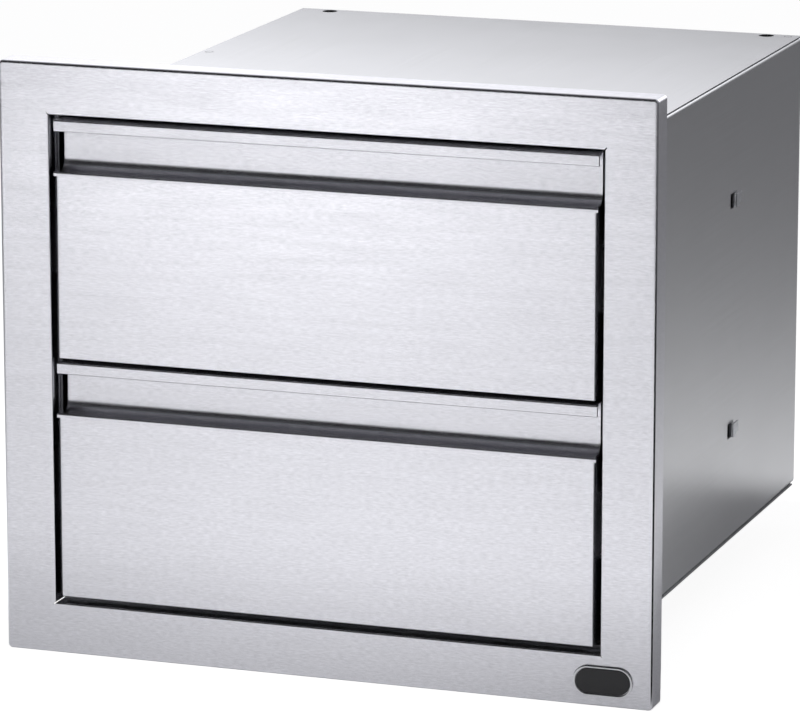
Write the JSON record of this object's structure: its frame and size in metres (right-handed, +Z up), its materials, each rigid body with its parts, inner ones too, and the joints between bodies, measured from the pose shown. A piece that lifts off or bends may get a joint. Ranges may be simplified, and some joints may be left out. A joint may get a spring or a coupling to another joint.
{
  "type": "built-in drawer unit",
  "caption": "Built-in stainless drawer unit for an outdoor kitchen island, with a lapping face frame and drawers stacked on telescopic slides.",
  "frame": {"origin": "on the wall plane, at the middle of the rear face of the face frame's bottom wall flange", "axes": "+X to the right as seen from the front, +Y into the island, +Z up"},
  "size_m": [0.457, 0.4826, 0.405],
  "materials": {
    "brushed_stainless": "stainless steel, brushed along the width",
    "plain_stainless": "stainless steel, dull mill finish",
    "zinc_steel": "bright zinc plating",
    "zinc_screw": "bright zinc plating",
    "black_rubber": "matte moulded rubber",
    "black_enamel": "glossy black enamel",
    "bright_rim": "polished"
  },
  "bodies": {
    "cabinet": {"face_frame": "brushed_stainless", "badge_rim": "bright_rim", "badge_inlay": "black_enamel", "cabinet_side_left": "plain_stainless", "cabinet_side_right": "plain_stainless", "cabinet_top": "plain_stainless", "cabinet_bottom": "plain_stainless", "cabinet_back": "plain_stainless", "lower_outer_rail_left": "zinc_steel", "lower_outer_rail_right": "zinc_steel", "upper_outer_rail_left": "zinc_steel", "upper_outer_rail_right": "zinc_steel", "lower_rail_stop_left": "black_rubber", "lower_rail_stop_right": "black_rubber", "upper_rail_stop_left": "black_rubber", "upper_rail_stop_right": "black_rubber", "lower_outer_rail_screw_left": "zinc_screw", "lower_outer_rail_screw_right": "zinc_screw", "upper_outer_rail_screw_left": "zinc_screw", "upper_outer_rail_screw_right": "zinc_screw"},
    "lower_drawer": {"lower_front_pan": "brushed_stainless", "lower_finger_channel": "brushed_stainless", "lower_box_front": "plain_stainless", "lower_box_side_left": "plain_stainless", "lower_box_side_right": "plain_stainless", "lower_box_floor": "plain_stainless", "lower_box_back": "plain_stainless", "lower_inner_rail_left": "zinc_steel", "lower_inner_rail_right": "zinc_steel", "lower_inner_rail_screw_left_1": "zinc_screw", "lower_inner_rail_screw_right_1": "zinc_screw", "lower_inner_rail_screw_left_2": "zinc_screw", "lower_inner_rail_screw_right_2": "zinc_screw", "lower_front_screw_1": "zinc_screw", "lower_front_screw_2": "zinc_screw", "lower_front_screw_3": "zinc_screw", "lower_front_screw_4": "zinc_screw"},
    "upper_drawer": {"upper_front_pan": "brushed_stainless", "upper_finger_channel": "brushed_stainless", "upper_box_front": "plain_stainless", "upper_box_side_left": "plain_stainless", "upper_box_side_right": "plain_stainless", "upper_box_floor": "plain_stainless", "upper_box_back": "plain_stainless", "upper_inner_rail_left": "zinc_steel", "upper_inner_rail_right": "zinc_steel", "upper_inner_rail_screw_left_1": "zinc_screw", "upper_inner_rail_screw_right_1": "zinc_screw", "upper_inner_rail_screw_left_2": "zinc_screw", "upper_inner_rail_screw_right_2": "zinc_screw", "upper_front_screw_1": "zinc_screw", "upper_front_screw_2": "zinc_screw", "upper_front_screw_3": "zinc_screw", "upper_front_screw_4": "zinc_screw"},
    "lower_left_slide_member": {"lower_middle_rail_left": "zinc_steel"},
    "lower_right_slide_member": {"lower_middle_rail_right": "zinc_steel"},
    "upper_left_slide_member": {"upper_middle_rail_left": "zinc_steel"},
    "upper_right_slide_member": {"upper_middle_rail_right": "zinc_steel"}
  },
  "joints": [
    {"name": "lower_drawer_slide", "type": "slide", "parent": "cabinet", "child": "lower_drawer", "axis": [0, -1, 0], "range_m": [0, 0.44]},
    {"name": "upper_drawer_slide", "type": "slide", "parent": "cabinet", "child": "upper_drawer", "axis": [0, -1, 0], "range_m": [0, 0.44]},
    {"name": "lower_left_middle_slide", "type": "slide", "parent": "cabinet", "child": "lower_left_slide_member", "axis": [0, -1, 0], "range_m": [0, 0.22]},
    {"name": "lower_right_middle_slide", "type": "slide", "parent": "cabinet", "child": "lower_right_slide_member", "axis": [0, -1, 0], "range_m": [0, 0.22]},
    {"name": "upper_left_middle_slide", "type": "slide", "parent": "cabinet", "child": "upper_left_slide_member", "axis": [0, -1, 0], "range_m": [0, 0.22]},
    {"name": "upper_right_middle_slide", "type": "slide", "parent": "cabinet", "child": "upper_right_slide_member", "axis": [0, -1, 0], "range_m": [0, 0.22]}
  ],
  "couplings": [
    {"joint": "lower_left_middle_slide", "follows": "lower_drawer_slide", "ratio": 0.5},
    {"joint": "lower_right_middle_slide", "follows": "lower_drawer_slide", "ratio": 0.5},
    {"joint": "upper_left_middle_slide", "follows": "upper_drawer_slide", "ratio": 0.5},
    {"joint": "upper_right_middle_slide", "follows": "upper_drawer_slide", "ratio": 0.5}
  ]
}
